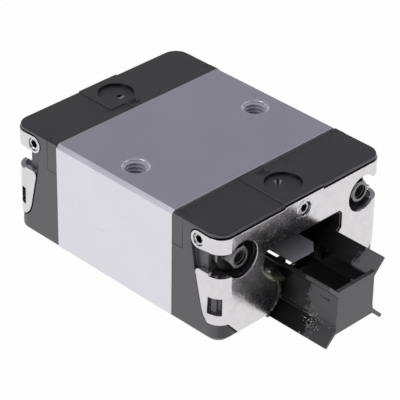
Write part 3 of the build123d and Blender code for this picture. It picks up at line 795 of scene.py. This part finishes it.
def line_bore(piece, mouth, axis, radius, material):
    """Give the faces inside a hole, below its mouth, a finish of their own."""
    axis = Vector(axis).normalized()
    materials = piece.data.materials
    if material.name not in materials:
        materials.append(material)
    for face in piece.data.polygons:
        away = face.center - Vector(mouth)
        depth = -away.dot(axis)
        if depth > 0.03 * MM and (away + axis * depth).length < radius:
            face.material_index = materials.find(material.name)


def thread_ridge(name, node, mouth, direction, wall, crest, pitch, depth, material):
    """A helical thread ridge that stands in from a hole's wall towards its axis."""
    steps = bpy.context.scene.carriage_sizes.thread_steps
    turns = depth / pitch - 1
    mouth = Vector(mouth)
    direction = Vector(direction).normalized()
    outward = direction.orthogonal().normalized()
    half = pitch / 2
    rise = [(wall + THREAD_SINK, THREAD_BURIED), (wall, THREAD_ROOT), (crest, THREAD_CREST)]
    profile = [(radius, -share) for radius, share in rise] + rise[::-1]
    bm = bmesh.new()
    corners = [bm.verts.new(mouth + outward * radius + direction * (half + share * pitch))
               for radius, share in profile]
    face = bm.faces.new(corners)
    bmesh.ops.spin(bm, geom=[face, *face.verts, *face.edges], cent=mouth, axis=direction,
                   dvec=direction * (pitch / steps), angle=2 * pi * turns,
                   steps=int(steps * turns), use_merge=False, use_normal_flip=False,
                   use_duplicate=False)
    bmesh.ops.recalc_face_normals(bm, faces=bm.faces)
    mark_sharp(bm, THREAD_CREASE_ANGLE)
    return new_piece(name, bm, material, node)


def lamp(name, power, size, place, target):
    """A soft rectangular lamp that points at a target."""
    data = bpy.data.lights.new(name, "AREA")
    data.shape = "RECTANGLE"
    data.size, data.size_y = size
    data.energy = power
    light = bpy.data.objects.new(name, data)
    light.location = place
    light.rotation_mode = "QUATERNION"
    light.rotation_quaternion = (Vector(target) - Vector(place)).to_track_quat("-Z", "Y")
    bpy.context.scene.collection.objects.link(light)
    return light


# Operators


class CARRIAGE_OT_studio(bpy.types.Operator):
    """Make the camera, floor, ceiling card, lamps and world"""

    bl_idname = "carriage.studio"
    bl_label = "Studio"

    def execute(self, context):
        studio = context.scene.carriage_studio
        colours = context.scene.carriage_colours
        self.make_camera(context, studio)
        self.make_floor(context, studio, colours, bare_bounds[0].z)
        self.make_ceiling(context, studio)
        self.make_world(context, studio, colours)
        target = Vector((0, 0, studio.target_height))
        lamp("Key Lamp", studio.key_power, KEY_SIZE, KEY_PLACE, target)
        lamp("Rim Lamp", studio.rim_power, RIM_SIZE, RIM_PLACE, target)
        context.scene.view_settings.view_transform = "Standard"
        return {"FINISHED"}

    def make_camera(self, context, studio):
        turn, rise, roll = studio.azimuth, studio.elevation, studio.roll
        back = Vector((sin(turn) * cos(rise), -cos(turn) * cos(rise), sin(rise)))
        level = Vector((cos(turn), sin(turn), 0))
        over = back.cross(level)
        right = level * cos(roll) + over * sin(roll)
        up = over * cos(roll) - level * sin(roll)
        data = bpy.data.cameras.new("Camera")
        data.lens = studio.lens
        data.sensor_width = 36
        data.clip_start, data.clip_end = 0.01, 20
        camera = bpy.data.objects.new("Camera", data)
        place = (Vector((0, 0, studio.target_height)) + back * studio.distance
                 + right * studio.pan_right + up * studio.pan_up)
        camera.matrix_world = Matrix.Translation(place) @ Matrix(
            (right, up, back)).transposed().to_4x4()
        context.scene.collection.objects.link(camera)
        context.scene.camera = camera

    def make_floor(self, context, studio, colours, height):
        """A white floor, matt where it takes light and shadow."""
        material, nodes = self.card_material("studio_floor")
        matt = nodes.node("ShaderNodeBsdfDiffuse", inputs={"Color": (0.9, 0.9, 0.9, 1)})
        glow = nodes.node("ShaderNodeEmission", inputs={"Color": (*colours.backdrop, 1)})
        shown = nodes.mixed(nodes.seen() * studio.floor_glow, matt, glow)
        nodes.node("ShaderNodeOutputMaterial", inputs={"Surface": shown})
        self.make_card(context, "floor", FLOOR_HALF, height, material)

    def make_ceiling(self, context, studio):
        """A grey card overhead that only the object sees."""
        material, nodes = self.card_material("ceiling_card")
        glow = nodes.node("ShaderNodeEmission", inputs={
            "Color": (*studio.ceiling_tint, 1), "Strength": studio.ceiling_level})
        nodes.node("ShaderNodeOutputMaterial", inputs={"Surface": glow})
        card = self.make_card(context, "ceiling_card", CEILING_HALF, CEILING_HEIGHT, material)
        card.visible_camera = False
        card.visible_shadow = False

    def make_world(self, context, studio, colours):
        """Soft light from all round, plain white to the camera and in reflections."""
        world = context.scene.world or bpy.data.worlds.new("Studio")
        context.scene.world = world
        world.use_nodes = True
        world.cycles.sampling_method = "NONE"
        nodes = Nodes(world.node_tree)
        plain = nodes.node("ShaderNodeBackground", inputs={
            "Color": (1, 1, 1, 1), "Strength": studio.world_level})
        white = nodes.node("ShaderNodeBackground", inputs={"Color": (*colours.backdrop, 1)})
        shown = nodes.mixed(nodes.seen(), plain, white)
        nodes.node("ShaderNodeOutputWorld", inputs={"Surface": shown})

    def card_material(self, name):
        """A material that light isn't sampled from, and its empty node tree."""
        material = bpy.data.materials.new(name)
        material.use_nodes = True
        material.cycles.emission_sampling = "NONE"
        return material, Nodes(material.node_tree)

    def make_card(self, context, name, half, height, material):
        """A level square of the studio."""
        bm = bmesh.new()
        bmesh.ops.create_grid(bm, x_segments=1, y_segments=1, size=half,
                              matrix=Matrix.Translation((0, 0, height)))
        if height > 0:
            bmesh.ops.reverse_faces(bm, faces=bm.faces)
        mesh = bpy.data.meshes.new(name)
        bm.to_mesh(mesh)
        bm.free()
        mesh.materials.append(material)
        card = bpy.data.objects.new(name, mesh)
        context.scene.collection.objects.link(card)
        return card


class CARRIAGE_OT_steel_body(bpy.types.Operator):
    """Finish the ground steel body"""

    bl_idname = "carriage.steel_body"
    bl_label = "Steel Body"

    def execute(self, context):
        body = finish_node("steel_body", context.scene.carriage_sizes.steel_edge)
        for _, mouth in hole_pair("mounting_holes", "spacing_y_mm"):
            # Painted highlight: the countersink and wall of each mounting hole get the lighter
            # thread steel.
            line_bore(body, mouth, (0, 0, 1), MOUNT_HOLE_REACH, material_for(thread_steel))
        return {"FINISHED"}


class CARRIAGE_OT_mounting_threads(bpy.types.Operator):
    """Cut the threads of the two mounting holes"""

    bl_idname = "carriage.mounting_threads"
    bl_label = "Mounting Threads"

    def execute(self, context):
        sizes = context.scene.carriage_sizes
        wall = MOUNTS["mounting_holes"]["dims"]["hole_r_mm"] * MM
        crest = wall - 0.54 * sizes.mount_pitch
        for name, mouth in hole_pair("mounting_holes", "spacing_y_mm"):
            mouth.z -= 0.1 * wall
            thread_ridge(f"{name}_mounting_thread", "steel_body", mouth, (0, 0, -1), wall, crest,
                         sizes.mount_pitch, sizes.mount_thread_depth,
                         material_for(thread_steel))
        return {"FINISHED"}


class CARRIAGE_OT_end_caps(bpy.types.Operator):
    """Finish the moulded end caps and the return frames behind them"""

    bl_idname = "carriage.end_caps"
    bl_label = "End Caps"

    def execute(self, context):
        width = context.scene.carriage_sizes.moulded_edge
        for end in ENDS:
            finish_node(f"{end}_end_cap", width)
            finish_node(f"{end}_return_frame", width)
        return {"FINISHED"}


class CARRIAGE_OT_cover_plates(bpy.types.Operator):
    """Finish the bent stainless cover plates"""

    bl_idname = "carriage.cover_plates"
    bl_label = "Cover Plates"

    def execute(self, context):
        for end in ENDS:
            finish_node(f"{end}_cover_plate", context.scene.carriage_sizes.sheet_edge)
        return {"FINISHED"}


class CARRIAGE_OT_end_screws(bpy.types.Operator):
    """Finish the end screws and cut the threads in their tapped ends"""

    bl_idname = "carriage.end_screws"
    bl_label = "End Screws"

    def execute(self, context):
        sizes = context.scene.carriage_sizes
        for end in ENDS:
            mount = MOUNTS[f"{end}_screw_threads"]
            wall = mount["dims"]["hole_r_mm"] * MM
            for name, mouth in hole_pair(f"{end}_screw_threads", "spacing_x_mm"):
                node = f"{end}_{name}_end_screw"
                screw = finish_node(node, sizes.moulded_edge * 0.5)
                # Painted shade inside the tapped end and on its thread
                line_bore(screw, mouth, mount["axis"], wall + THREAD_SINK,
                          material_for(bore_shade))
                thread_ridge(f"{end}_{name}_screw_thread", node, mouth,
                             -Vector(mount["axis"]), wall, wall - 0.5 * sizes.screw_pitch,
                             sizes.screw_pitch, sizes.screw_thread_depth,
                             material_for(bore_shade))
        return {"FINISHED"}


class CARRIAGE_OT_port_screws(bpy.types.Operator):
    """Finish the small screws in the lubrication ports"""

    bl_idname = "carriage.port_screws"
    bl_label = "Port Screws"

    def execute(self, context):
        sizes = context.scene.carriage_sizes
        for end in ENDS:
            for place in (*SIDES, "centre"):
                screw = finish_node(f"{end}_{place}_port_screw", sizes.moulded_edge * 0.4,
                                    material_for(set_screw))
                points = [vert.co for vert in screw.data.vertices]
                low = Vector(min(point[n] for point in points) for n in range(3))
                high = Vector(max(point[n] for point in points) for n in range(3))
                mouth = (low + high) / 2
                axis = Vector((0, 0, 0))
                across = 0 if place == "centre" else 1
                axis[across] = 1 if mouth[across] > 0 else -1
                mouth[across] = high[across] if mouth[across] > 0 else low[across]
                # Painted shade inside the key socket
                line_bore(screw, mouth, axis, sizes.socket_radius, material_for(bore_shade))
        return {"FINISHED"}


class CARRIAGE_OT_seals(bpy.types.Operator):
    """Finish the end seals and side seals"""

    bl_idname = "carriage.seals"
    bl_label = "Seals"

    def execute(self, context):
        width = context.scene.carriage_sizes.moulded_edge * 0.6
        for end in ENDS:
            finish_node(f"{end}_end_seal", width)
        for side in SIDES:
            finish_node(f"{side}_side_seal", width)
        return {"FINISHED"}


class CARRIAGE_OT_ball_circuits(bpy.types.Operator):
    """Finish the balls, races and ball guides"""

    bl_idname = "carriage.ball_circuits"
    bl_label = "Ball Circuits"

    def execute(self, context):
        for side in SIDES:
            dress_node(f"{side}_race_insert")
            for row in ("upper", "lower"):
                dress_node(f"{side}_{row}_balls")
                dress_node(f"{side}_{row}_ball_guide")
        return {"FINISHED"}


class CARRIAGE_OT_arbor(bpy.types.Operator):
    """Finish the transport arbor"""

    bl_idname = "carriage.arbor"
    bl_label = "Transport Arbor"

    def execute(self, context):
        finish_node("transport_arbor", context.scene.carriage_sizes.moulded_edge)
        return {"FINISHED"}


class CARRIAGE_OT_grease(bpy.types.Operator):
    """Smear grease on the lip of the front seal"""

    bl_idname = "carriage.grease"
    bl_label = "Grease"

    def execute(self, context):
        height = context.scene.carriage_sizes.grease_height
        for name, (rise, outline) in GREASE.items():
            bm = bmesh.new()
            base = bm.faces.new([bm.verts.new((GREASE_X * MM, y * MM, z * MM))
                                 for y, z in outline])
            raised = bmesh.ops.extrude_face_region(bm, geom=[base])
            top = [item for item in raised["geom"] if isinstance(item, bmesh.types.BMVert)]
            bmesh.ops.translate(bm, verts=top, vec=(rise * height / 2, 0, 0))
            bmesh.ops.recalc_face_normals(bm, faces=bm.faces)
            crown = max(bm.faces, key=lambda face: face.calc_center_median().x)
            bmesh.ops.inset_region(bm, faces=[crown], thickness=GREASE_INSET * MM,
                                   depth=rise * height / 2)
            bmesh.ops.triangulate(bm, faces=[face for face in bm.faces if len(face.verts) > 4])
            bmesh.ops.subdivide_edges(bm, edges=bm.edges, cuts=2, use_grid_fill=True,
                                      fractal=0.8, seed=5)
            for _ in range(2):
                bmesh.ops.smooth_vert(bm, verts=bm.verts, factor=0.5, use_axis_x=True,
                                      use_axis_y=True, use_axis_z=True)
            piece = new_piece(name, bm, material_for(grease_film), "front_end_seal")
            piece.modifiers.remove(piece.modifiers["Even Shading"])
            rounding = piece.modifiers.new("Rounding", "SUBSURF")
            rounding.levels = rounding.render_levels = 2
        return {"FINISHED"}


class CARRIAGE_OT_crumbs(bpy.types.Operator):
    """Scatter crumbs on the left wall of the arbor"""

    bl_idname = "carriage.crumbs"
    bl_label = "Crumbs"

    def execute(self, context):
        sizes = context.scene.carriage_sizes
        chance = random.Random(11)
        bm = bmesh.new()
        for _ in range(sizes.crumb_count):
            drop = min(1.0, max(0.0, chance.gauss(0.56, 0.22)))
            if drop < CRUMB_BEND_SHARE:
                spot = Vector(CRUMB_TOP).lerp(Vector(CRUMB_BEND), drop / CRUMB_BEND_SHARE) * MM
            else:
                share = (drop - CRUMB_BEND_SHARE) / (1 - CRUMB_BEND_SHARE)
                spot = Vector(CRUMB_BEND).lerp(Vector(CRUMB_FOOT), share) * MM
            spot.x = (CRUMB_CENTRE + chance.gauss(0.0, CRUMB_SPREAD) + 1.2 * drop) * MM
            size = sizes.crumb_radius * chance.triangular(0.25, 1.0, 0.4)
            turned = Matrix.Rotation(chance.uniform(0, pi), 4, Vector((1, chance.random(), 1)))
            flat = Matrix.Diagonal((size, size * chance.uniform(0.3, 0.7),
                                    size * chance.uniform(0.4, 1.0), 1.0))
            bmesh.ops.create_icosphere(bm, subdivisions=1, radius=1.0,
                                       matrix=Matrix.Translation(spot) @ turned @ flat)
        new_piece("left_wall_crumbs", bm, material_for(crumb_grey), "transport_arbor")
        return {"FINISHED"}


# Panel and registration


STEPS = (CARRIAGE_OT_studio, CARRIAGE_OT_steel_body, CARRIAGE_OT_mounting_threads,
         CARRIAGE_OT_end_caps, CARRIAGE_OT_cover_plates, CARRIAGE_OT_end_screws,
         CARRIAGE_OT_port_screws, CARRIAGE_OT_seals, CARRIAGE_OT_ball_circuits,
         CARRIAGE_OT_arbor, CARRIAGE_OT_grease, CARRIAGE_OT_crumbs)


class CARRIAGE_PT_panel(bpy.types.Panel):
    """The carriage's settings and steps"""

    bl_label = "Linear Guide Carriage"
    bl_idname = "CARRIAGE_PT_panel"
    bl_space_type = "VIEW_3D"
    bl_region_type = "UI"
    bl_category = "Carriage"

    def draw(self, context):
        for settings in (context.scene.carriage_sizes, context.scene.carriage_colours,
                         context.scene.carriage_studio):
            box = self.layout.box()
            for name in settings.__annotations__:
                box.prop(settings, name)
        for step in STEPS:
            self.layout.operator(step.bl_idname)


GROUPS = {"carriage_sizes": CarriageSizes, "carriage_colours": CarriageColours,
          "carriage_studio": StudioSettings}


def register():
    for name, group in GROUPS.items():
        bpy.utils.register_class(group)
        setattr(bpy.types.Scene, name, PointerProperty(type=group))
    for cls in (*STEPS, CARRIAGE_PT_panel):
        bpy.utils.register_class(cls)


def unregister():
    for cls in (CARRIAGE_PT_panel, *reversed(STEPS)):
        bpy.utils.unregister_class(cls)
    for name, group in GROUPS.items():
        delattr(bpy.types.Scene, name)
        bpy.utils.unregister_class(group)


def main():
    register()
    bpy.ops.carriage.studio()
    bpy.ops.carriage.steel_body()
    bpy.ops.carriage.mounting_threads()
    bpy.ops.carriage.end_caps()
    bpy.ops.carriage.cover_plates()
    bpy.ops.carriage.end_screws()
    bpy.ops.carriage.port_screws()
    bpy.ops.carriage.seals()
    bpy.ops.carriage.ball_circuits()
    bpy.ops.carriage.arbor()
    bpy.ops.carriage.grease()
    bpy.ops.carriage.crumbs()


if __name__ == "__main__":
    main()
